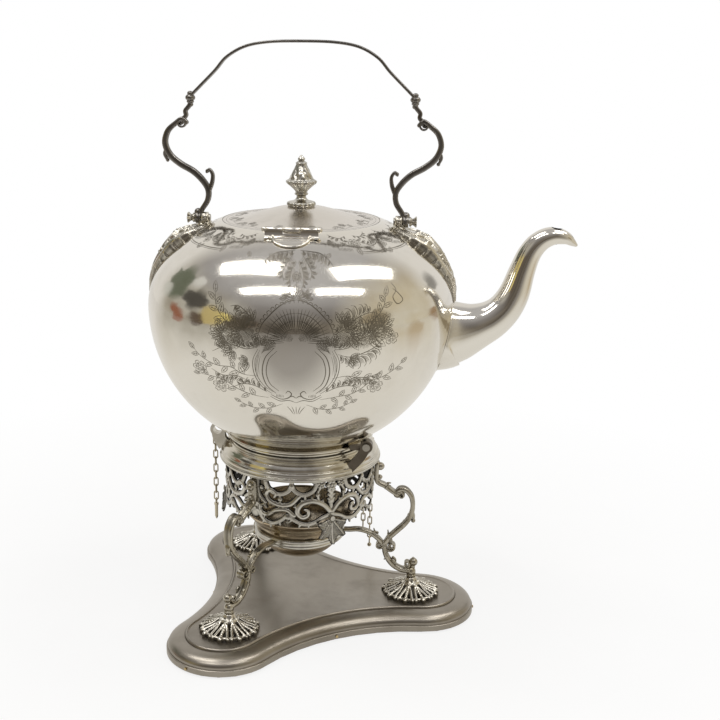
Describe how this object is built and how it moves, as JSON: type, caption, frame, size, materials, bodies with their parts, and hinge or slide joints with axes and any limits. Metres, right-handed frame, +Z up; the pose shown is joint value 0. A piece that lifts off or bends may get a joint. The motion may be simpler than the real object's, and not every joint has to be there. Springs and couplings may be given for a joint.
{
  "type": "spirit kettle on stand",
  "caption": "Round engraved kettle with a swing handle, hinged lid and scroll spout, tipped on two pivots over a spirit lamp on a three-legged stand with a trilobe plinth",
  "frame": {"origin": "centre of the plinth's flat underside", "axes": "+Z up, +X towards the spout, -Y towards the lid hinge and the picture's viewer"},
  "size_m": [0.2729, 0.2154, 0.377],
  "materials": {
    "silver": "polished silver plate with fine scratches and engraving",
    "worn_plate": "polished plate worn through to yellow metal",
    "casting": "cast silver plate, tarnished in the recesses",
    "dark_casting": "cast silver plate, heavily tarnished",
    "oxidised": "oxidised silver plate",
    "plinth": "satin worn plate, brown grey",
    "board": "dark stained wood",
    "brass": "dull brass",
    "lamp": "bronze toned brass with plate left in places",
    "chain": "tarnished plated wire",
    "fixings": "dull plated metal",
    "wick": "cotton wick"
  },
  "bodies": {
    "stand": {"plinth_board": "board", "plinth_cover": "plinth", "plinth_nails": "brass", "foot_bolts": "fixings", "foot_nuts": "fixings", "foot_shell_right": "casting", "foot_shell_back": "casting", "foot_shell_front": "casting", "leg_right": "casting", "leg_back": "casting", "leg_front": "casting", "leg_screws": "fixings", "arm_rivets": "fixings", "stand_ring": "worn_plate", "gallery": "oxidised", "leaf_near": "oxidised", "leaf_far": "oxidised", "leaf_rear": "oxidised", "leaf_rivets": "oxidised", "burner_ring": "oxidised", "stand_ear_near": "casting", "stand_ear_far": "casting", "rear_fork": "casting", "pivot_stud": "fixings", "side_chain": "chain"},
    "lamp": {"lamp_bowl": "lamp", "lamp_cover": "lamp", "lamp_wick": "wick"},
    "kettle": {"kettle_body": "silver", "kettle_collar": "worn_plate", "kettle_ear_near": "casting", "kettle_ear_far": "casting", "rear_tongue": "casting", "spout": "silver", "lid_hinge_plate": "silver", "lid_hinge_pin": "fixings", "handle_mount_left": "casting", "handle_mount_right": "casting", "handle_screws": "fixings", "flower_nuts": "casting"},
    "lid_body": {"lid": "silver", "lid_leaf": "silver", "finial": "casting", "finial_nut": "fixings"},
    "handle": {"handle_arm_left": "dark_casting", "handle_arm_right": "dark_casting", "handle_bow": "dark_casting", "bow_knobs": "dark_casting"},
    "far_pin": {"pivot_pin": "fixings", "far_chain": "chain"},
    "rear_links": {"rear_chain": "chain", "lock_pin": "chain"}
  },
  "joints": [
    {"name": "kettle_tilt", "type": "hinge", "parent": "stand", "child": "kettle", "pos_m": [0.046, 0, 0.1285], "axis": [0, 1, 0], "range_deg": [0, 45]},
    {"name": "lid_hinge", "type": "hinge", "parent": "kettle", "child": "lid_body", "pos_m": [0, -0.0532, 0.2686], "axis": [1, 0, 0], "range_deg": [0, 75]},
    {"name": "handle_swing", "type": "hinge", "parent": "kettle", "child": "handle", "pos_m": [0, 0, 0.2665], "axis": [1, 0, 0], "range_deg": [-80, 80]},
    {"name": "lamp_lift", "type": "slide", "parent": "stand", "child": "lamp", "axis": [0, 0, 1], "range_m": [0, 0.03]},
    {"name": "far_pin_pull", "type": "slide", "parent": "stand", "child": "far_pin", "axis": [0, 1, 0], "range_m": [0, 0.01]},
    {"name": "rear_chain_swing", "type": "hinge", "parent": "stand", "child": "rear_links", "pos_m": [-0.0574, 0, 0.1179], "axis": [0, 1, 0], "range_deg": [0, 40]}
  ]
}
